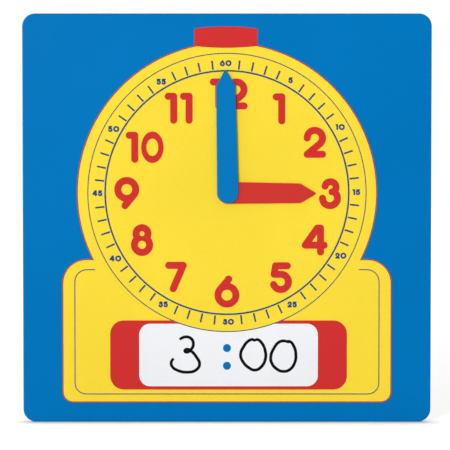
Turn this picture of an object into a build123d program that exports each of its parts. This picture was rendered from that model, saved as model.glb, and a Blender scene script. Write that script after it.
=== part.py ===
from build123d import *
import math
import os

# A flat demonstration clock for the classroom. A square of grey board, lined on both sides, carries a
# printed alarm-clock dial with a write-on window, and two plastic hands turn by hand on one centre pivot.
# Lengths are millimetres. X runs to the viewer's right, Z runs up and the printed face looks along -Y.
# The origin is the middle of the board's bottom edge, and depth counts forward from the board's middle.

# Board: a grey core between two lining sheets. The cutting die presses the rim of the face round.
BOARD_SIDE = 304.8
BOARD_CORNER_RADIUS = 9.5
FACE_RIM_RADIUS = 1.2
CORE_THICKNESS = 2.6
SHEET_THICKNESS = 0.2

# Print: every colour is a thin film, and films side by side leave a hairline between them
FILM_THICKNESS = 0.1
PRINT_GAP = 0.05

# Base of the printed clock: a block with round shoulders, and a fine border line inside it
BASE_SIDE_MARGIN = 29.45
BASE_BOTTOM_MARGIN = 14.6
BASE_HEIGHT = 107.25
BASE_SHOULDER_RADIUS = 18.0
BASE_FOOT_RADIUS = 7.8
BORDER_SIDE_INSET = 9.0
BORDER_BOTTOM_INSET = 5.9
BORDER_TOP_INSET = 7.5
BORDER_SHOULDER_RADIUS = 9.5
BORDER_FOOT_RADIUS = 8.6
BORDER_LINE_WIDTH = 0.7
BORDER_DIAL_GAP = 2.0

# Time panel in the base, with the write-on window and its two colon dots. The panel and its window are
# printed a little to the right of the dots.
PANEL_RISE = 9.6
PANEL_SIDE_MARGIN = 34.5
PANEL_OFFSET = 1.2
PANEL_HEIGHT = 51.8
PANEL_CORNER_RADIUS = 10.2
WINDOW_SIDE_BORDER = 21.7
WINDOW_EDGE_BORDER = 2.45
WINDOW_CORNER_RADIUS = 8.2
COLON_DOT_RADIUS = 3.0
COLON_DOT_SPACING = 13.3
COLON_RISE = 22.05

# Alarm button on top of the printed clock: a barrel with a crowned top and bottom, a little to the left
BUTTON_TOP_MARGIN = 9.65
BUTTON_OFFSET = -0.8
BUTTON_WIDTH = 47.2
BUTTON_HEIGHT = 15.95
BUTTON_TOP_CROWN = 1.7
BUTTON_BOTTOM_CROWN = 1.4
BUTTON_CORNER_RADIUS = 1.5
BUTTON_LAP = 4.15

# Dial: the field's rim, the keyline round the whole clock shape and the minute track between two rings.
# The track's marks are printed a little out of square, by an angle that counts anticlockwise.
DIAL_PANEL_LAP = 8.35
FIELD_RIM = 8.2
KEYLINE_WIDTH = 0.7
OUTER_RING_WIDTH = 0.65
INNER_RING_WIDTH = 1.2
TRACK_WIDTH = 12.95
TRACK_TURN = 0.5
TICK_GAP = 0.6
TICK_LENGTH = 6.9
TICK_WIDTH = 1.25

# Numbers: an hour numeral's height is a share of the inner ring's radius, so that neighbours stay clear,
# and its stroke and the space between its digits are shares of its height
HOUR_NUMERAL_HEIGHT_SHARE = 0.2544
HOUR_NUMERAL_STROKE_SHARE = 0.228
HOUR_NUMERAL_SPACING_SHARE = 0.09
HOUR_NUMERAL_MARGIN = 4.4
MINUTE_NUMBER_HEIGHT = 4.5
MINUTE_NUMBER_STROKE = 1.3
MINUTE_NUMBER_SPACING = 0.45
MINUTE_NUMBER_OFFSET = 5.85

# Hands: flat plastic with a rounded tail and a blunt point, at the time that the clock shows at rest
HAND_THICKNESS = 1.1
HAND_EDGE_RADIUS = 0.4
HAND_SHOULDER_RADIUS = 4.0
HAND_TIP_RADIUS = 0.7
HAND_POINT_LENGTH = 12.0
HOUR_HAND_SHORTFALL = 8.1
HOUR_HAND_TAIL_WIDTH = 16.2
HOUR_HAND_SHOULDER_WIDTH = 14.5
HOUR_HAND_ANGLE = 90.35
MINUTE_HAND_OVERREACH = 1.2
MINUTE_HAND_TAIL_WIDTH = 15.9
MINUTE_HAND_SHOULDER_WIDTH = 14.2
MINUTE_HAND_ANGLE = -1.1

# Pivot: a stud on the minute hand runs in a flanged bush that is clamped in the board. Its hole is punched
# a little to the right of the printed dial's centre.
PIVOT_OFFSET = 0.6
STUD_RADIUS = 2.5
BUSH_WALL = 1.5
BUSH_FLANGE_WIDTH = 2.6
BUSH_FLANGE_THICKNESS = 0.4
CLAMP_RING_WIDTH = 4.2
CLAMP_RING_THICKNESS = 1.2
CLAMP_RING_CHAMFER = 0.4
HAND_WASHER_WIDTH = 3.6
HAND_WASHER_THICKNESS = 0.3
DRAG_WASHER_WIDTH = 4.4
DRAG_WASHER_THICKNESS = 0.5
CAP_WALL = 5.6
CAP_THICKNESS = 2.8
CAP_FLOOR = 1.0
CAP_EDGE_RADIUS = 0.8
CAP_DISH_RADIUS = 4.6
CAP_DISH_DEPTH = 0.5
RUNNING_CLEARANCE = 0.05
SEAT_CLEARANCE = 0.03
HAND_PLAY = 0.1

# Places worked out from the sizes above. Heights count up from the board's bottom edge.
BASE_WIDTH = BOARD_SIDE - 2 * BASE_SIDE_MARGIN
PANEL_WIDTH = BASE_WIDTH - 2 * PANEL_SIDE_MARGIN
PANEL_BOTTOM = BASE_BOTTOM_MARGIN + PANEL_RISE
WINDOW_BOTTOM = PANEL_BOTTOM + WINDOW_EDGE_BORDER
DIAL_BOTTOM = PANEL_BOTTOM + PANEL_HEIGHT - DIAL_PANEL_LAP
BUTTON_BOTTOM = BOARD_SIDE - BUTTON_TOP_MARGIN - BUTTON_HEIGHT
FIELD_TOP = BUTTON_BOTTOM + BUTTON_LAP
OUTER_RING_RADIUS = (FIELD_TOP - DIAL_BOTTOM - FIELD_RIM) / 2
FIELD_RADIUS = OUTER_RING_RADIUS + FIELD_RIM
INNER_RING_RADIUS = OUTER_RING_RADIUS - TRACK_WIDTH
DIAL_HEIGHT = DIAL_BOTTOM + OUTER_RING_RADIUS
MINUTE_NUMBER_CIRCLE = INNER_RING_RADIUS + MINUTE_NUMBER_OFFSET
HOUR_NUMERAL_HEIGHT = HOUR_NUMERAL_HEIGHT_SHARE * INNER_RING_RADIUS
HOUR_NUMERAL_STROKE = HOUR_NUMERAL_STROKE_SHARE * HOUR_NUMERAL_HEIGHT
HOUR_NUMERAL_SPACING = HOUR_NUMERAL_SPACING_SHARE * HOUR_NUMERAL_HEIGHT
HOUR_NUMERAL_CIRCLE = INNER_RING_RADIUS - HOUR_NUMERAL_MARGIN - (INNER_RING_WIDTH + HOUR_NUMERAL_HEIGHT) / 2
HOUR_HAND_LENGTH = HOUR_NUMERAL_CIRCLE - HOUR_HAND_SHORTFALL
MINUTE_HAND_LENGTH = INNER_RING_RADIUS + MINUTE_HAND_OVERREACH

# Depths, from the back of the stack to its front
BACK = -CORE_THICKNESS / 2 - SHEET_THICKNESS
CLAMP_RING_BACK = BACK - CLAMP_RING_THICKNESS
DRAG_WASHER_BACK = CLAMP_RING_BACK - DRAG_WASHER_THICKNESS
CAP_BACK = DRAG_WASHER_BACK - CAP_THICKNESS
STUD_BACK = CAP_BACK + CAP_FLOOR
FACE = CORE_THICKNESS / 2 + SHEET_THICKNESS
FIELD_FRONT = FACE + FILM_THICKNESS
FIGURES_FRONT = FIELD_FRONT + FILM_THICKNESS
WINDOW_FRONT = FIGURES_FRONT + FILM_THICKNESS
FLANGE_FRONT = FIELD_FRONT + BUSH_FLANGE_THICKNESS
HOUR_HAND_FRONT = FLANGE_FRONT + HAND_THICKNESS
COLLAR_FRONT = HOUR_HAND_FRONT + HAND_PLAY
MINUTE_HAND_BACK = COLLAR_FRONT + HAND_WASHER_THICKNESS

# Radii about the pivot
BUSH_BORE = STUD_RADIUS + RUNNING_CLEARANCE
BUSH_RADIUS = BUSH_BORE + BUSH_WALL
BOARD_HOLE = BUSH_RADIUS + SEAT_CLEARANCE
HOUR_HAND_EYE = BUSH_RADIUS + RUNNING_CLEARANCE
CAP_SOCKET = STUD_RADIUS + SEAT_CLEARANCE

# The clock's numbers, each built of strokes that follow a line, an arc or an oval. Places and radii are
# shares of the height between the middle lines of the top and bottom strokes, and angles are degrees. An
# oval's last share is how wide its sides are to its top, and the letter o is the minute numbers' nought.
DIGIT_STROKE_SHARES = {
    "1": [("bar", (0, 1), (0.23, 1)), ("bar", (0.23, 1), (0.23, 0))],
    "2": [
        ("arc", (0.32, 0.68), 0.32, -50, 180),
        ("bar", (0.526, 0.435), (0, 0)),
        ("bar", (0, 0), (0.64, 0)),
    ],
    "3": [
        ("arc", (0.332, 0.768), 0.232, -58, 168),
        ("arc", (0.312, 0.312), 0.312, -180, 60),
        ("bar", (0.4, 0.578), (0.47, 0.578)),
    ],
    "4": [
        ("bar", (0.638, 0), (0.638, 1)),
        ("bar", (0.638, 1), (0.504, 1)),
        ("bar", (0.504, 1), (0, 0.285)),
        ("bar", (0, 0.285), (0.789, 0.285)),
    ],
    "5": [
        ("bar", (0.606, 1), (0.12, 1)),
        ("bar", (0.12, 1), (0.06, 0.645)),
        ("bar", (0.06, 0.645), (0.337, 0.645)),
        ("arc", (0.337, 0.325), 0.32, -160, 90),
    ],
    "6": [("oval", (0.374, 0.374), 0.374, 0.374, 1), ("bar", (0.45, 1.05), (0.088, 0.614))],
    "7": [("bar", (0, 1), (0.606, 1)), ("bar", (0.606, 1), (0.187, 0.02))],
    "8": [("oval", (0.317, 0.784), 0.25, 0.25, 1), ("oval", (0.317, 0.317), 0.317, 0.317, 1)],
    "9": [("oval", (0.374, 0.676), 0.374, 0.374, 1), ("bar", (0.298, 0), (0.66, 0.436))],
    "0": [("oval", (0.359, 0.51), 0.359, 0.51, 0.75)],
    "o": [("oval", (0.5, 0.5), 0.5, 0.5, 1)],
}

# How far each number is set off its place on its circle, to the right and up, as shares of its height
HOUR_NUDGE_SHARES = {
    1: (0.07, -0.08),
    2: (0.05, 0.02),
    3: (0.11, -0.03),
    4: (0.05, 0.08),
    5: (0.14, 0.04),
    6: (0, 0.02),
    7: (-0.04, 0.06),
    8: (0.04, 0.08),
    9: (-0.02, -0.01),
    10: (0.13, -0.14),
    11: (0.05, -0.06),
    12: (0.055, -0.03),
}
MINUTE_NUDGE_SHARES = {
    5: (-0.05, -0.09),
    10: (0.22, -0.03),
    15: (-0.04, -0.09),
    20: (0.19, 0.14),
    25: (-0.08, -0.04),
    30: (0.05, 0.05),
    35: (-0.01, 0.17),
    40: (-0.01, 0),
    45: (-0.01, 0.11),
    50: (-0.06, -0.02),
    55: (0.04, -0.14),
    60: (-0.02, -0.05),
}


def slab(outline, back, front):
    """A plate of the outline, given in X and Z, between two depths."""
    return extrude(Plane.XZ.offset(back) * outline, amount=front - back)


def film(outline, back):
    """A printed film of the outline, laid on the depth given."""
    return slab(outline, back, back + FILM_THICKNESS)


def at_dial(outline):
    """The outline with its origin moved to the dial's centre."""
    return Pos(0, DIAL_HEIGHT) * outline


def at_pivot(outline):
    """The outline with its origin moved to the hands' pivot."""
    return Pos(PIVOT_OFFSET, DIAL_HEIGHT) * outline


def ring_outline(inner, outer):
    return Circle(outer) - Circle(inner)


def pivot_ring(inner, outer, back, front):
    """A ring about the pivot between two depths."""
    return slab(at_pivot(ring_outline(inner, outer)), back, front)


def block_outline(width, height, bottom, top_radius, bottom_radius):
    """An upright block centred on X, with one radius at its top corners and one at its bottom corners."""
    block = Pos(0, bottom) * Rectangle(width, height, align=(Align.CENTER, Align.MIN))
    block = fillet(block.vertices().group_by(Axis.Y)[-1], top_radius)
    return fillet(block.vertices().group_by(Axis.Y)[0], bottom_radius)


def board_outline():
    square = Pos(0, BOARD_SIDE / 2) * RectangleRounded(BOARD_SIDE, BOARD_SIDE, BOARD_CORNER_RADIUS)
    return square - at_pivot(Circle(BOARD_HOLE))


def pressed_board(front):
    """The core's plate up to a depth, with the rim of its front pressed round."""
    plate = slab(board_outline(), -CORE_THICKNESS / 2, front)
    front_face = plate.faces().sort_by(Axis.Y)[0]
    return fillet(front_face.outer_wire().edges(), FACE_RIM_RADIUS)


def button_outline(gap):
    """The alarm button's barrel, grown by a gap on its underside."""
    half = BUTTON_WIDTH / 2 + gap
    bottom = BUTTON_BOTTOM - gap
    bottom_end = bottom + BUTTON_BOTTOM_CROWN
    top = BUTTON_BOTTOM + BUTTON_HEIGHT
    top_end = top - BUTTON_TOP_CROWN
    edges = [
        ThreePointArc((-half, bottom_end), (0, bottom), (half, bottom_end)),
        Line((half, bottom_end), (half, top_end)),
        ThreePointArc((half, top_end), (0, top), (-half, top_end)),
        Line((-half, top_end), (-half, bottom_end)),
    ]
    barrel = make_face(edges)
    top_corners = barrel.vertices().sort_by(Axis.Y)[-2:]
    return Pos(BUTTON_OFFSET, 0) * fillet(top_corners, BUTTON_CORNER_RADIUS)


def field_outline(inset):
    """The printed clock's shape, the dial's disc joined to its base, drawn in by an inset."""
    base = block_outline(
        BASE_WIDTH - 2 * inset,
        BASE_HEIGHT - 2 * inset,
        BASE_BOTTOM_MARGIN + inset,
        BASE_SHOULDER_RADIUS - inset,
        BASE_FOOT_RADIUS - inset,
    )
    return at_dial(Circle(FIELD_RADIUS - inset)) + base


def border_outline(inset):
    """The border line's path in the base, drawn in by an inset."""
    height = BASE_HEIGHT - BORDER_BOTTOM_INSET - BORDER_TOP_INSET
    return block_outline(
        BASE_WIDTH - 2 * (BORDER_SIDE_INSET + inset),
        height - 2 * inset,
        BASE_BOTTOM_MARGIN + BORDER_BOTTOM_INSET + inset,
        BORDER_SHOULDER_RADIUS - inset,
        BORDER_FOOT_RADIUS - inset,
    )


def below_dial(outline):
    """The outline with the dial's disc, out to its outer ring, cut away."""
    return outline - at_dial(Circle(OUTER_RING_RADIUS + OUTER_RING_WIDTH / 2 + PRINT_GAP))


def panel_outline():
    block = block_outline(PANEL_WIDTH, PANEL_HEIGHT, PANEL_BOTTOM, PANEL_CORNER_RADIUS, PANEL_CORNER_RADIUS)
    return below_dial(Pos(PANEL_OFFSET, 0) * block)


def window_outline():
    width = PANEL_WIDTH - 2 * WINDOW_SIDE_BORDER
    height = PANEL_HEIGHT - 2 * WINDOW_EDGE_BORDER
    block = block_outline(width, height, WINDOW_BOTTOM, WINDOW_CORNER_RADIUS, WINDOW_CORNER_RADIUS)
    return below_dial(Pos(PANEL_OFFSET, 0) * block)


def colon_outlines():
    middle = WINDOW_BOTTOM + COLON_RISE
    heights = [middle - COLON_DOT_SPACING / 2, middle + COLON_DOT_SPACING / 2]
    return [Pos(0, height) * Circle(COLON_DOT_RADIUS) for height in heights]


def ring_line(radius, width):
    return at_dial(ring_outline(radius - width / 2, radius + width / 2))


def dial_place(radius, angle):
    """The place on a circle about the dial's centre, at an angle clockwise from the top."""
    turn = math.radians(angle)
    return Pos(radius * math.sin(turn), radius * math.cos(turn))


def track_angle(minute):
    """The angle of a minute's mark on the track, clockwise from the top."""
    return minute * 360 / 60 - TRACK_TURN


def tick_outlines():
    radius = INNER_RING_RADIUS + INNER_RING_WIDTH / 2 + TICK_GAP + TICK_LENGTH / 2
    tick = Rectangle(TICK_WIDTH, TICK_LENGTH)
    minutes = [minute for minute in range(60) if minute % 5]
    return [at_dial(Rot(0, 0, -track_angle(minute)) * Pos(0, radius) * tick) for minute in minutes]


def oval_outline(size, growth, centre, across, up, side):
    """The oval that a stroke follows, grown or drawn in at the top, and by a share of that at its sides."""
    return Pos(Vector(*centre) * size) * Ellipse(across * size + side * growth, up * size + growth)


def stroke_outline(kind, places, size, width):
    """One stroke of a digit: a bar or an arc with round ends, or an oval that is still filled."""
    if kind == "oval":
        return oval_outline(size, width / 2, *places)
    if kind == "arc":
        centre, radius, first, last = places
        return SlotArc(CenterArc(Vector(*centre) * size, radius * size, first, last - first), width)
    start, end = [Vector(*place) * size for place in places]
    run = end - start
    slope = math.degrees(math.atan2(run.Y, run.X))
    return Pos((start + end) / 2) * Rot(0, 0, slope) * SlotCenterToCenter(run.length, width)


def digit_outline(digit, height, width):
    """A digit of joined strokes, with the holes of its ovals cut last."""
    size = height - width
    outline = Sketch()
    for kind, *places in DIGIT_STROKE_SHARES[digit]:
        outline += stroke_outline(kind, places, size, width)
    for kind, *places in DIGIT_STROKE_SHARES[digit]:
        if kind == "oval":
            outline -= oval_outline(size, -width / 2, *places)
    return outline


def number_outlines(text, height, width, spacing):
    """The digits of a number side by side, with the middle of the whole at the origin."""
    digits = []
    right = 0
    for digit in text:
        outline = digit_outline(digit, height, width)
        box = outline.bounding_box()
        digits.append(Pos(right - box.min.X, -box.center().Y) * outline)
        right += box.size.X + spacing
    middle = (right - spacing) / 2
    return [Pos(-middle, 0) * outline for outline in digits]


def hour_numeral(hour):
    nudge = Pos(Vector(*HOUR_NUDGE_SHARES[hour]) * HOUR_NUMERAL_HEIGHT)
    place = dial_place(HOUR_NUMERAL_CIRCLE, hour * 360 / 12) * nudge
    digits = number_outlines(str(hour), HOUR_NUMERAL_HEIGHT, HOUR_NUMERAL_STROKE, HOUR_NUMERAL_SPACING)
    return Compound([film(at_dial(place * digit), FIELD_FRONT) for digit in digits])


def minute_number(minute):
    nudge = Pos(Vector(*MINUTE_NUDGE_SHARES[minute]) * MINUTE_NUMBER_HEIGHT)
    place = dial_place(MINUTE_NUMBER_CIRCLE, track_angle(minute)) * nudge
    text = str(minute).replace("0", "o")
    digits = number_outlines(text, MINUTE_NUMBER_HEIGHT, MINUTE_NUMBER_STROKE, MINUTE_NUMBER_SPACING)
    return Compound([film(at_dial(place * digit), FIELD_FRONT) for digit in digits])


def hand_outline(length, tail_width, shoulder_width):
    """A hand that points up from the pivot at the origin."""
    tail = tail_width / 2
    shoulder = shoulder_width / 2
    shoulder_place = length - HAND_POINT_LENGTH
    edges = [
        ThreePointArc((-tail, 0), (0, -tail), (tail, 0)),
        Polyline((tail, 0), (shoulder, shoulder_place), (0, length), (-shoulder, shoulder_place), (-tail, 0)),
    ]
    hand = make_face(edges)
    hand = fillet(hand.vertices().sort_by(Axis.Y)[-3:-1], HAND_SHOULDER_RADIUS)
    return fillet(hand.vertices().sort_by(Axis.Y)[-1], HAND_TIP_RADIUS)


def hand_plate(outline, angle, back):
    """A hand turned clockwise to its angle, with the rim of its front face rounded."""
    plate = slab(at_pivot(Rot(0, 0, -angle) * outline), back, back + HAND_THICKNESS)
    front = plate.faces().sort_by(Axis.Y)[0]
    return fillet(front.outer_wire().edges(), HAND_EDGE_RADIUS)


def hour_hand():
    outline = hand_outline(HOUR_HAND_LENGTH, HOUR_HAND_TAIL_WIDTH, HOUR_HAND_SHOULDER_WIDTH)
    return hand_plate(outline - Circle(HOUR_HAND_EYE), HOUR_HAND_ANGLE, FLANGE_FRONT)


def minute_hand():
    outline = hand_outline(MINUTE_HAND_LENGTH, MINUTE_HAND_TAIL_WIDTH, MINUTE_HAND_SHOULDER_WIDTH)
    stud = slab(at_pivot(Circle(STUD_RADIUS)), STUD_BACK, MINUTE_HAND_BACK)
    return hand_plate(outline, MINUTE_HAND_ANGLE, MINUTE_HAND_BACK) + stud


def pivot_bush():
    sleeve = pivot_ring(BUSH_BORE, BUSH_RADIUS, CLAMP_RING_BACK, COLLAR_FRONT)
    return sleeve + pivot_ring(BUSH_BORE, BUSH_RADIUS + BUSH_FLANGE_WIDTH, FIELD_FRONT, FLANGE_FRONT)


def bush_clamp_ring():
    inner = BUSH_RADIUS + SEAT_CLEARANCE
    ring = pivot_ring(inner, inner + CLAMP_RING_WIDTH, CLAMP_RING_BACK, BACK)
    back_face = ring.faces().sort_by(Axis.Y)[-1]
    return chamfer(back_face.outer_wire().edges(), CLAMP_RING_CHAMFER)


def retainer_cap():
    cap = slab(at_pivot(Circle(CAP_SOCKET + CAP_WALL)), CAP_BACK, DRAG_WASHER_BACK)
    back_face = cap.faces().sort_by(Axis.Y)[-1]
    cap = fillet(back_face.outer_wire().edges(), CAP_EDGE_RADIUS)
    socket = slab(at_pivot(Circle(CAP_SOCKET)), STUD_BACK, DRAG_WASHER_BACK)
    dish = slab(at_pivot(Circle(CAP_DISH_RADIUS)), CAP_BACK, CAP_BACK + CAP_DISH_DEPTH)
    return cap - socket - dish


core_board = pressed_board(CORE_THICKNESS / 2)
field_cut = button_outline(PRINT_GAP) + at_pivot(Circle(BOARD_HOLE))
keyline_outline = field_outline(0) - field_outline(KEYLINE_WIDTH)
border_line = border_outline(0) - border_outline(BORDER_LINE_WIDTH)
border_line -= at_dial(Circle(FIELD_RADIUS + BORDER_DIAL_GAP))

parts = {
    "core_board": core_board,
    "face_sheet": pressed_board(FACE) - core_board,
    "back_sheet": slab(board_outline(), BACK, -CORE_THICKNESS / 2),
    "dial_field": film(field_outline(0) - field_cut, FACE),
    "alarm_button": film(button_outline(0), FACE),
    "field_keyline": film(keyline_outline - field_cut, FIELD_FRONT),
    "base_border": film(border_line, FIELD_FRONT),
    "outer_ring": film(ring_line(OUTER_RING_RADIUS, OUTER_RING_WIDTH), FIELD_FRONT),
    "inner_ring": film(ring_line(INNER_RING_RADIUS, INNER_RING_WIDTH), FIELD_FRONT),
    "minute_ticks": Compound([film(tick, FIELD_FRONT) for tick in tick_outlines()]),
    "time_panel": film(panel_outline(), FIELD_FRONT),
    "write_window": film(window_outline(), FIGURES_FRONT),
    "colon_dots": Compound([film(dot, WINDOW_FRONT) for dot in colon_outlines()]),
    "pivot_bush": pivot_bush(),
    "bush_clamp_ring": bush_clamp_ring(),
    "hour_hand": hour_hand(),
    "hand_washer": pivot_ring(BUSH_BORE, BUSH_BORE + HAND_WASHER_WIDTH, COLLAR_FRONT, MINUTE_HAND_BACK),
    "minute_hand": minute_hand(),
    "drag_washer": pivot_ring(BUSH_BORE, BUSH_BORE + DRAG_WASHER_WIDTH, DRAG_WASHER_BACK, CLAMP_RING_BACK),
    "retainer_cap": retainer_cap(),
}
for hour in range(1, 13):
    parts[f"hour_numeral_{hour:02d}"] = hour_numeral(hour)
for minute in range(5, 65, 5):
    parts[f"minute_number_{minute:02d}"] = minute_number(minute)

os.makedirs("parts", exist_ok=True)
for name, shape in parts.items():
    export_step(shape, f"parts/{name}.step")
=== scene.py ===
import math

import bmesh
import bpy
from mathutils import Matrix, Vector


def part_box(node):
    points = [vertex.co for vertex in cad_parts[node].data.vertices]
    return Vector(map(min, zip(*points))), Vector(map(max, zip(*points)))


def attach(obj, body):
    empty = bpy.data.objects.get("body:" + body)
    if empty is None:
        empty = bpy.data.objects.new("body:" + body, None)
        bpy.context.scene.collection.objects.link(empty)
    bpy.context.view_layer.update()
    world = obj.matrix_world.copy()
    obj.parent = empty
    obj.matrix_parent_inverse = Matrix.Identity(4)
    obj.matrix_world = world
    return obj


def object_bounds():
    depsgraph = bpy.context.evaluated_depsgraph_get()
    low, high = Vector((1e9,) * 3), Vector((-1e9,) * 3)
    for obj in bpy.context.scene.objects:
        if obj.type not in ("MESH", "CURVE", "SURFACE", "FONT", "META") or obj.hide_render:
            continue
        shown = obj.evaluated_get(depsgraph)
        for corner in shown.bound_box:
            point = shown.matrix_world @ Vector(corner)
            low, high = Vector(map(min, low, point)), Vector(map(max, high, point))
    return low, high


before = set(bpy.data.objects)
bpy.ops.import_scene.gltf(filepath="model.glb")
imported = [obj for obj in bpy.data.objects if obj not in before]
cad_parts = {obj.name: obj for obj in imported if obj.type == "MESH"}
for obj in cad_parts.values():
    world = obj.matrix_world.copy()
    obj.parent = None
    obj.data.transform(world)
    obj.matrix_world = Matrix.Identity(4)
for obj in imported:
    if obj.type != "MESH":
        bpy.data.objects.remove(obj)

CAD_LOW, CAD_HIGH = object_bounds()

# Core of the board: solid greyboard, pressed in layers from recycled pulp and cut by a die. Only its raw
# edge shows, all the way round, as fine grey-brown layers of fibre between the two lining sheets.
GREYBOARD_DARK = (104, 98, 88)
GREYBOARD_LIGHT = (188, 181, 166)
GREYBOARD_LAYERS = (260, 5200, 260)
GREYBOARD_FLECKS = 2600
GREYBOARD_LAYERS_SHARE = 0.6
GREYBOARD_TONES = (0.32, 0.68)
GREYBOARD_RELIEF = 0.0002
GREYBOARD_ROUGHNESS = 0.85
GREYBOARD_FLECK_ROUGHNESS = 0.1


class Shade:
    """A socket in a material's nodes. Sums and products of shades and numbers add Math nodes to them."""

    def __init__(self, tree, socket=None):
        self.tree = tree
        self.socket = socket

    def node(self, kind, inputs=None, output=0, **settings):
        """Adds a node, makes its settings, fills its sockets with values or shades and gives one output."""
        made = self.tree.nodes.new("ShaderNode" + kind)
        for name, value in settings.items():
            setattr(made, name, value)
        for key, value in (inputs or {}).items():
            if isinstance(value, Shade):
                self.tree.links.new(value.socket, made.inputs[key])
            else:
                made.inputs[key].default_value = value
        return Shade(self.tree, made.outputs[output] if made.outputs else None)

    def math(self, operation, first, second):
        return self.node("Math", {0: first, 1: second}, operation=operation)

    def __add__(self, other):
        return self.math("ADD", self, other)

    def __sub__(self, other):
        return self.math("SUBTRACT", self, other)

    def __rsub__(self, other):
        return self.math("SUBTRACT", other, self)

    def __mul__(self, other):
        return self.math("MULTIPLY", self, other)

    __radd__ = __add__
    __rmul__ = __mul__

    def absolute(self):
        return self.node("Math", {0: self}, operation="ABSOLUTE")

    def ramp(self, low, high):
        """Rises from 0 at the low value to 1 at the high one, and stays within them."""
        return self.node("MapRange", {"Value": self, "From Min": low, "From Max": high})

    def noise(self, scale, detail=3.0, turn=(0, 0, 0)):
        """Cloudy noise on this place. The scale counts features to the metre, alike or for each axis."""
        scales = scale if isinstance(scale, tuple) else (scale, scale, scale)
        place = self.node("Mapping", {"Vector": self, "Rotation": turn, "Scale": scales})
        return self.node("TexNoise", {"Vector": place, "Scale": 1.0, "Detail": detail}, output="Fac")

    def blend(self, start, end):
        """A colour between two, each written as a screen shows it or made by nodes, by this share."""
        first, second = [c if isinstance(c, Shade) else linear_colour(c) for c in (start, end)]
        # The Mix node's colour sockets have the names of its other sockets, so they go by number.
        return self.node("Mix", {0: self, 6: first, 7: second}, output=2, data_type="RGBA")


def linear_colour(screen_colour):
    """The light that a shader takes for a colour given as a screen shows it, from 0 to 255."""
    shares = [value / 255 for value in screen_colour]
    light = [s / 12.92 if s <= 0.04045 else ((s + 0.055) / 1.055) ** 2.4 for s in shares]
    return (*light, 1.0)


def new_finish(name):
    """A material with no nodes, and the place on the piece that its patterns start from."""
    material = bpy.data.materials.new(name)
    material.use_nodes = True
    material.node_tree.nodes.clear()
    return material, Shade(material.node_tree).node("TexCoord", output="Object")


def close_finish(material, relief, relief_depth, **sockets):
    """Puts the surface together from its sockets, with the relief as a bump so many metres deep."""
    start = Shade(material.node_tree)
    sockets = {name.replace("_", " "): value for name, value in sockets.items()}
    sockets["Normal"] = start.node("Bump", {"Height": relief, "Distance": relief_depth})
    surface = start.node("BsdfPrincipled", sockets)
    start.node("OutputMaterial", {"Surface": surface})


def give_finish(material, *names):
    """Puts a material on the named pieces."""
    for name in names:
        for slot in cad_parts[name].material_slots:
            slot.material = material


greyboard, place = new_finish("pressed_greyboard")
layers = place.noise(GREYBOARD_LAYERS)
flecks = place.noise(GREYBOARD_FLECKS)
pulp = layers * GREYBOARD_LAYERS_SHARE + flecks * (1 - GREYBOARD_LAYERS_SHARE)
close_finish(
    greyboard,
    pulp,
    GREYBOARD_RELIEF,
    Base_Color=pulp.ramp(*GREYBOARD_TONES).blend(GREYBOARD_DARK, GREYBOARD_LIGHT),
    Roughness=GREYBOARD_ROUGHNESS + flecks * GREYBOARD_FLECK_ROUGHNESS,
)
give_finish(greyboard, "core_board")

# Face lining: a sheet of paper printed blue all over, under a clear film that marker ink wipes off. It is
# glued to the core before cutting, and the die rolls its rim over, so its white cut edge shows at the side.
BLUE_INK = (0, 117, 188)
INK_DRIFT = 8
INK_GRAIN = 2100
INK_GRAIN_DETAIL = 1.0
INK_DRIFT_SHARE = 0.55
INK_TONES = (0.3, 0.7)
INK_DARKER_SHARE = 0.965
INK_LIGHTER_SHARE = 1.03
FILM_WIPES = (26, 26, 240)
FILM_WIPES_TURN = (0, math.radians(38), 0)
FILM_PEEL = 330
FILM_PEEL_DETAIL = 1.0
FILM_PEEL_DEPTH = 0.00002
FILM_ROUGHNESS = 0.25
FILM_WIPED_ROUGHNESS = 0.12
FILM_SHINE = 0.02
PAPER_EDGE = (236, 234, 228)
PAPER_EDGE_WIDTH = 0.0002
PAPER_EDGE_BLUR = 0.00002


def scaled_colour(colour, share):
    """A colour made darker or lighter by a share."""
    return tuple(value * share for value in colour)


def ink_tone(place, ink):
    """Ink with the slow drift of a press run and the grain of the printing screen."""
    drift = place.noise(INK_DRIFT)
    grain = place.noise(INK_GRAIN, INK_GRAIN_DETAIL)
    tone = drift * INK_DRIFT_SHARE + grain * (1 - INK_DRIFT_SHARE)
    darker = scaled_colour(ink, INK_DARKER_SHARE)
    lighter = scaled_colour(ink, INK_LIGHTER_SHARE)
    return tone.ramp(*INK_TONES).blend(darker, lighter)


def close_film(material, place, colour):
    """The clear wipe-off film over a print: low gloss, faint wiping marks and a little orange peel."""
    wiped = place.noise(FILM_WIPES, turn=FILM_WIPES_TURN)
    close_finish(
        material,
        place.noise(FILM_PEEL, FILM_PEEL_DETAIL),
        FILM_PEEL_DEPTH,
        Base_Color=colour,
        Roughness=FILM_ROUGHNESS + wiped * FILM_WIPED_ROUGHNESS,
        Specular_IOR_Level=FILM_SHINE,
    )


blue_lining, place = new_finish("blue_lining")
paper_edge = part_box("face_sheet")[1].y - PAPER_EDGE_WIDTH
depth = place.node("SeparateXYZ", {0: place}, output="Y")
cut = depth.ramp(paper_edge - PAPER_EDGE_BLUR, paper_edge + PAPER_EDGE_BLUR)
close_film(blue_lining, place, cut.blend(ink_tone(place, BLUE_INK), PAPER_EDGE))
give_finish(blue_lining, "face_sheet")

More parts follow.
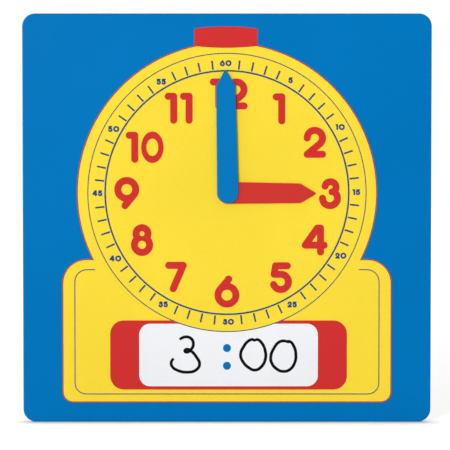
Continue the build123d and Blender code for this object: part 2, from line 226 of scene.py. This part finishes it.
# Back lining: plain uncoated paper, glued on to keep the board flat. It is off-white with a few darker
# fibres, has a soft tooth, and is a little greyed by fingers along the edges.
BACK_PAPER = (240, 238, 231)
BACK_FIBRE = (208, 202, 189)
BACK_FIBRE_SCALES = (180, 180, 1500)
BACK_LONG_FIBRE_TURN = (0, math.radians(25), 0)
BACK_CROSS_FIBRE_TURN = (0, math.radians(110), 0)
BACK_FIBRE_SHARE = 0.35
BACK_FIBRE_TONES = (0.5, 0.72)
BACK_TOOTH = 900
BACK_RELIEF = 0.00008
BACK_RELIEF_TOOTH_SHARE = 0.6
BACK_ROUGHNESS = 0.8
BACK_TOOTH_ROUGHNESS = 0.12
BACK_SHINE = 0.2
BACK_HANDLED = (205, 199, 188)
BACK_HANDLED_FROM_SHARE = 0.86
BACK_HANDLED_MOST_SHARE = 0.6
BACK_HANDLED_PATCHES = 34
BACK_HANDLED_PATCH_TONES = (0.35, 0.7)

back_paper, place = new_finish("back_paper")
long_fibres = place.noise(BACK_FIBRE_SCALES, turn=BACK_LONG_FIBRE_TURN)
cross_fibres = place.noise(BACK_FIBRE_SCALES, turn=BACK_CROSS_FIBRE_TURN)
tooth = place.noise(BACK_TOOTH)
both_fibres = long_fibres * BACK_FIBRE_SHARE + cross_fibres * BACK_FIBRE_SHARE
fibre = (both_fibres + tooth * (1 - 2 * BACK_FIBRE_SHARE)).ramp(*BACK_FIBRE_TONES)
board_middle = (CAD_LOW + CAD_HIGH) / 2
board_half = (CAD_HIGH.x - CAD_LOW.x) / 2
across = place.node("SeparateXYZ", {0: place}, output="X") - board_middle.x
upward = place.node("SeparateXYZ", {0: place}, output="Z") - board_middle.z
outward = place.math("MAXIMUM", across.absolute(), upward.absolute())
rim = outward.ramp(board_half * BACK_HANDLED_FROM_SHARE, board_half)
patches = place.noise(BACK_HANDLED_PATCHES).ramp(*BACK_HANDLED_PATCH_TONES)
handled = rim * rim * patches * BACK_HANDLED_MOST_SHARE
close_finish(
    back_paper,
    tooth * BACK_RELIEF_TOOTH_SHARE + long_fibres * (1 - BACK_RELIEF_TOOTH_SHARE),
    BACK_RELIEF,
    Base_Color=handled.blend(fibre.blend(BACK_PAPER, BACK_FIBRE), BACK_HANDLED),
    Roughness=BACK_ROUGHNESS + tooth * BACK_TOOTH_ROUGHNESS,
    Specular_IOR_Level=BACK_SHINE,
)
give_finish(back_paper, "back_sheet")

# Printed clock: flat areas of yellow and red ink on the lining, under the same clear film. The yellow
# clock shape has a red keyline and a red button, and its base holds a red panel. The panel's white window
# has two dots of the blue ink.
YELLOW_INK = (252, 222, 62)
RED_INK = (210, 51, 51)
WINDOW_WHITE = (243, 245, 250)


def laminated_print(name, ink):
    """One printed colour under the clear film."""
    material, place = new_finish(name)
    close_film(material, place, ink_tone(place, ink))
    return material


give_finish(laminated_print("yellow_print", YELLOW_INK), "dial_field")
red_print = laminated_print("red_print", RED_INK)
give_finish(red_print, "field_keyline", "alarm_button", "time_panel")
give_finish(laminated_print("white_print", WINDOW_WHITE), "write_window")
give_finish(laminated_print("blue_print", BLUE_INK), "colon_dots")

# Minute track and border: two rings, ticks and small numbers, and a hairline inside the base. They are
# overprinted on the yellow in slate-blue ink, under the same film.
SLATE_INK = (32, 78, 130)
MINUTES = range(5, 65, 5)
slate_print = laminated_print("slate_print", SLATE_INK)
give_finish(slate_print, "base_border", "outer_ring", "inner_ring", "minute_ticks")
give_finish(slate_print, *[f"minute_number_{minute:02d}" for minute in MINUTES])

# Hour numerals: large figures of round-ended strokes, each set a little off its place on the circle. They
# are printed with the panel's red, so they share its ink and film.
HOURS = range(1, 13)
give_finish(red_print, *[f"hour_numeral_{hour:02d}" for hour in HOURS])

# Pivot: a flanged bush of undyed plastic, clamped through the board by a ring, with fibre washers that
# give the hands their drag and a cap pushed on the stud's end behind the board.
NATURAL_PLASTIC = (228, 222, 206)
NATURAL_SHADE = (206, 198, 178)
NATURAL_ROUGHNESS = 0.4
PLASTIC_FLOW = (60, 60, 22)
PLASTIC_FLOW_SHARE = 0.7
PLASTIC_TONES = (0.3, 0.7)
PLASTIC_SKIN = 3200
PLASTIC_SKIN_DETAIL = 2.0
PLASTIC_SKIN_DEPTH = 0.00003
PLASTIC_SKIN_ROUGHNESS = 0.1
PLASTIC_SHINE = 0.03
FIBRE_DARK = (110, 74, 48)
FIBRE_LIGHT = (150, 108, 74)
FIBRE_STRANDS = (700, 700, 2600)
FIBRE_TONES = (0.3, 0.7)
FIBRE_RELIEF = 0.00006
FIBRE_ROUGHNESS = 0.7
FIBRE_STRAND_ROUGHNESS = 0.2


def moulded_plastic(name, colour, darker, roughness):
    """Injection-moulded plastic: a fine matt skin, faint flow marks and slightly uneven colour."""
    material, place = new_finish(name)
    flow = place.noise(PLASTIC_FLOW)
    skin = place.noise(PLASTIC_SKIN, PLASTIC_SKIN_DETAIL)
    tone = flow * PLASTIC_FLOW_SHARE + skin * (1 - PLASTIC_FLOW_SHARE)
    close_finish(
        material,
        skin,
        PLASTIC_SKIN_DEPTH,
        Base_Color=tone.ramp(*PLASTIC_TONES).blend(darker, colour),
        Roughness=roughness + skin * PLASTIC_SKIN_ROUGHNESS,
        Specular_IOR_Level=PLASTIC_SHINE,
    )
    return material


natural_plastic = moulded_plastic("natural_plastic", NATURAL_PLASTIC, NATURAL_SHADE, NATURAL_ROUGHNESS)
give_finish(natural_plastic, "pivot_bush", "bush_clamp_ring", "retainer_cap")
fibre_washer, place = new_finish("fibre_washer")
strands = place.noise(FIBRE_STRANDS)
close_finish(
    fibre_washer,
    strands,
    FIBRE_RELIEF,
    Base_Color=strands.ramp(*FIBRE_TONES).blend(FIBRE_DARK, FIBRE_LIGHT),
    Roughness=FIBRE_ROUGHNESS + strands * FIBRE_STRAND_ROUGHNESS,
)
give_finish(fibre_washer, "hand_washer", "drag_washer")

# Hands: flat moulded plastic with a soft rim, red for the hours and blue for the minutes. The hour hand's
# eye turns on the bush, and the minute hand's stud passes through it to the cap behind.
HOUR_HAND_RED = (210, 56, 50)
HOUR_HAND_SHADE = (204, 52, 48)
MINUTE_HAND_BLUE = (0, 121, 191)
MINUTE_HAND_SHADE = (0, 117, 186)
HAND_ROUGHNESS = 0.36
red_plastic = moulded_plastic("red_plastic", HOUR_HAND_RED, HOUR_HAND_SHADE, HAND_ROUGHNESS)
give_finish(red_plastic, "hour_hand")
blue_plastic = moulded_plastic("blue_plastic", MINUTE_HAND_BLUE, MINUTE_HAND_SHADE, HAND_ROUGHNESS)
give_finish(blue_plastic, "minute_hand")

# Marker writing: a time put in the window by hand with a dry-wipe marker. The ink lies on the film as a
# thin raised line of even width, a little narrower at its blunt ends. The strokes' points are millimetres
# across and up from the middle of the board's foot.
MARKER_BLACK = (8, 8, 10)
MARKER_WORN = (30, 29, 31)
MARKER_STREAKS = (900, 900, 300)
MARKER_TONES = (0.45, 0.85)
MARKER_RELIEF = 0.00002
MARKER_ROUGHNESS = 0.45
MARKER_STREAK_ROUGHNESS = 0.2
MARKER_SHINE = 0.03
MARKER_HALF_WIDTH = 0.00117
MARKER_THICKNESS = 0.00006
MARKER_END_SHARE = 0.85
MARKER_STEPS = 8
MARKER_ROUNDING = 3
MILLIMETRE = 0.001
MARKER_STROKES = {
    "marker_three": [
        (-35.5, 61.9), (-31.0, 63.7), (-26.9, 62.5), (-25.1, 58.4), (-27.0, 54.1), (-30.2, 52.2),
        (-31.5, 53.2), (-29.8, 54.4), (-26.9, 53.1), (-22.9, 48.7), (-20.5, 43.0), (-23.2, 38.8),
        (-29.7, 37.2), (-36.7, 38.5), (-41.0, 41.5), (-41.7, 44.4), (-40.0, 47.6),
    ],
    "marker_first_nought": [
        (21.0, 60.7), (19.2, 61.7), (16.4, 60.9), (12.6, 56.6), (10.2, 50.6), (11.4, 46.0), (16.6, 40.4),
        (21.2, 38.8), (25.6, 41.2), (28.7, 47.0), (28.6, 53.2), (25.8, 59.4), (22.8, 61.7), (20.4, 61.0),
    ],
    "marker_second_nought": [
        (46.4, 59.6), (42.2, 60.7), (38.6, 59.5), (35.0, 55.0), (32.8, 49.2), (33.4, 44.2), (37.0, 39.8),
        (42.1, 37.8), (46.8, 39.1), (50.6, 44.2), (51.5, 50.8), (50.2, 56.2), (47.2, 60.1), (44.0, 60.3),
    ],
}

marker_ink, place = new_finish("marker_ink")
streaks = place.noise(MARKER_STREAKS)
close_finish(
    marker_ink,
    streaks,
    MARKER_RELIEF,
    Base_Color=streaks.ramp(*MARKER_TONES).blend(MARKER_BLACK, MARKER_WORN),
    Roughness=MARKER_ROUGHNESS + streaks * MARKER_STREAK_ROUGHNESS,
    Specular_IOR_Level=MARKER_SHINE,
)
window_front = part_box("write_window")[0].y
for name, points in MARKER_STROKES.items():
    curve = bpy.data.curves.new(name, "CURVE")
    curve.dimensions = "3D"
    curve.resolution_u = MARKER_STEPS
    curve.bevel_depth = MARKER_HALF_WIDTH
    curve.bevel_resolution = MARKER_ROUNDING
    curve.use_fill_caps = True
    spline = curve.splines.new("BEZIER")
    spline.bezier_points.add(len(points) - 1)
    for knot, (across, up) in zip(spline.bezier_points, points):
        knot.co = (across * MILLIMETRE, 0, up * MILLIMETRE)
        knot.handle_left_type = "AUTO"
        knot.handle_right_type = "AUTO"
    spline.bezier_points[0].radius = MARKER_END_SHARE
    spline.bezier_points[-1].radius = MARKER_END_SHARE
    pen_line = bpy.data.objects.new(name + "_line", curve)
    mesh = bpy.data.meshes.new_from_object(pen_line)
    bpy.data.objects.remove(pen_line)
    shape = bmesh.new()
    shape.from_mesh(mesh)
    flatten = MARKER_THICKNESS / (2 * MARKER_HALF_WIDTH)
    bmesh.ops.scale(shape, vec=(1, flatten, 1), verts=shape.verts)
    bmesh.ops.translate(shape, vec=(0, window_front - MARKER_THICKNESS / 2, 0), verts=shape.verts)
    bmesh.ops.recalc_face_normals(shape, faces=shape.faces)
    shape.to_mesh(mesh)
    shape.free()
    mesh.materials.clear()
    mesh.materials.append(marker_ink)
    writing = bpy.data.objects.new(name, mesh)
    bpy.context.scene.collection.objects.link(writing)
    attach(writing, "board")

# Floor: a plain matt white sheet that takes the board's shadow. Its glow doesn't light the board and only
# keeps the sheet white in the picture. It is weaker near the board and behind it, where the shadow falls,
# and dies away where the board touches the floor, which paints a dark contact shadow along the board's
# foot.
FLOOR_SIDE = 12.0
FLOOR_GREY = 0.7
FLOOR_GLOW = 0.4
FLOOR_FAR_GLOW = 0.54
FLOOR_NEAR = 0.25
FLOOR_FAR = 1.2
FLOOR_FRONT = 0.03
FLOOR_CONTACT_REACH = 0.014

floor_mesh = bpy.data.meshes.new("floor")
shape = bmesh.new()
bmesh.ops.create_grid(shape, x_segments=1, y_segments=1, size=FLOOR_SIDE / 2)
shape.to_mesh(floor_mesh)
shape.free()
floor = bpy.data.objects.new("floor", floor_mesh)
bpy.context.scene.collection.objects.link(floor)


def seen_directly(start):
    """1 for rays that look at the background straight, in a reflection or through something clear."""
    seen = start.node("LightPath", output="Is Camera Ray")
    for ray in ("Is Glossy Ray", "Is Transmission Ray"):
        seen = seen.math("MAXIMUM", seen, start.node("LightPath", output=ray))
    return seen


floor_paint, spot = new_finish("floor_paint")
paint = spot.node("BsdfDiffuse", {"Color": (FLOOR_GREY, FLOOR_GREY, FLOOR_GREY, 1.0)})
away = spot.node("VectorMath", {0: spot}, output="Value", operation="LENGTH")
far = away.ramp(FLOOR_NEAR, FLOOR_FAR)
front = (0 - spot.node("SeparateXYZ", {0: spot}, output="Y")).ramp(0, FLOOR_FRONT)
open_floor = spot.math("MAXIMUM", far, front)
level = FLOOR_GLOW + open_floor * (FLOOR_FAR_GLOW - FLOOR_GLOW)
# Ambient occlusion, cubed, takes the glow away at the board's foot: this is a painted contact shadow.
open_share = spot.node("AmbientOcclusion", {"Distance": FLOOR_CONTACT_REACH}, output="AO")
clear_share = open_share * open_share * open_share
glow = spot.node("Emission", {"Color": seen_directly(spot) * level * clear_share})
spot.node("OutputMaterial", {"Surface": spot.node("AddShader", {0: paint, 1: glow})})
floor_mesh.materials.append(floor_paint)

# Surround: an even white room, seen as plain white. The soft light that it gives the board is stronger
# from the left, from above and from behind.
SURROUND_LIGHT = 0.52
SURROUND_TILT = (-0.3, 0.42, 0.37)

surround = bpy.data.worlds.new("surround")
surround.use_nodes = True
surround.node_tree.nodes.clear()
start = Shade(surround.node_tree)
way = start.node("TexCoord", output="Generated")
tilt = start.node("VectorMath", {0: way, 1: SURROUND_TILT}, output="Value", operation="DOT_PRODUCT")
light = start.node("Background", {"Color": SURROUND_LIGHT + tilt})
white = start.node("Background", {"Color": (1.0, 1.0, 1.0, 1.0), "Strength": 1.0})
sky = start.node("MixShader", {0: seen_directly(start), 1: light, 2: white})
start.node("OutputWorld", {"Surface": sky})
bpy.context.scene.world = surround

# Lamp: one soft round lamp at the upper left, far in front of the board and aimed at the dial's middle. It
# throws the narrow shadow beside each hand.
LAMP_DISTANCE = 6.0
LAMP_DIAMETER = 1.16
LAMP_POWER = 196.0
LAMP_LEFT_SLOPE = 0.36
LAMP_UP_SLOPE = 0.28

dial_low, dial_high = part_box("inner_ring")
dial_centre = (dial_low + dial_high) / 2
lamp_light = bpy.data.lights.new("soft_lamp", "AREA")
lamp_light.shape = "DISK"
lamp_light.size = LAMP_DIAMETER
lamp_light.energy = LAMP_POWER
lamp = bpy.data.objects.new("soft_lamp", lamp_light)
lamp_way = Vector((-LAMP_LEFT_SLOPE, -1.0, LAMP_UP_SLOPE)).normalized()
lamp.location = dial_centre + lamp_way * LAMP_DISTANCE
lamp.rotation_euler = (-lamp_way).to_track_quat("-Z", "Y").to_euler()
lamp.visible_camera = False
bpy.context.scene.collection.objects.link(lamp)

# Camera: straight in front and a little above the middle, with a long lens, as the photograph was taken.
# The view's width is measured at the printed face.
VIEW_DISTANCE = 1.5
VIEW_ELEVATION = math.radians(2.0)
VIEW_WIDTH = 0.3357
VIEW_ACROSS = -0.00146
VIEW_HEIGHT = 0.14735

camera_data = bpy.data.cameras.new("camera")
camera_data.lens = camera_data.sensor_width * VIEW_DISTANCE / VIEW_WIDTH
camera = bpy.data.objects.new("camera", camera_data)
back_away = Vector((0, -math.cos(VIEW_ELEVATION), math.sin(VIEW_ELEVATION)))
face_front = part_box("dial_field")[0].y
camera.location = Vector((VIEW_ACROSS, face_front, VIEW_HEIGHT)) + back_away * VIEW_DISTANCE
camera.rotation_euler = (math.pi / 2 - VIEW_ELEVATION, 0, 0)
bpy.context.scene.collection.objects.link(camera)
bpy.context.scene.camera = camera
bpy.context.scene.view_settings.view_transform = "Standard"
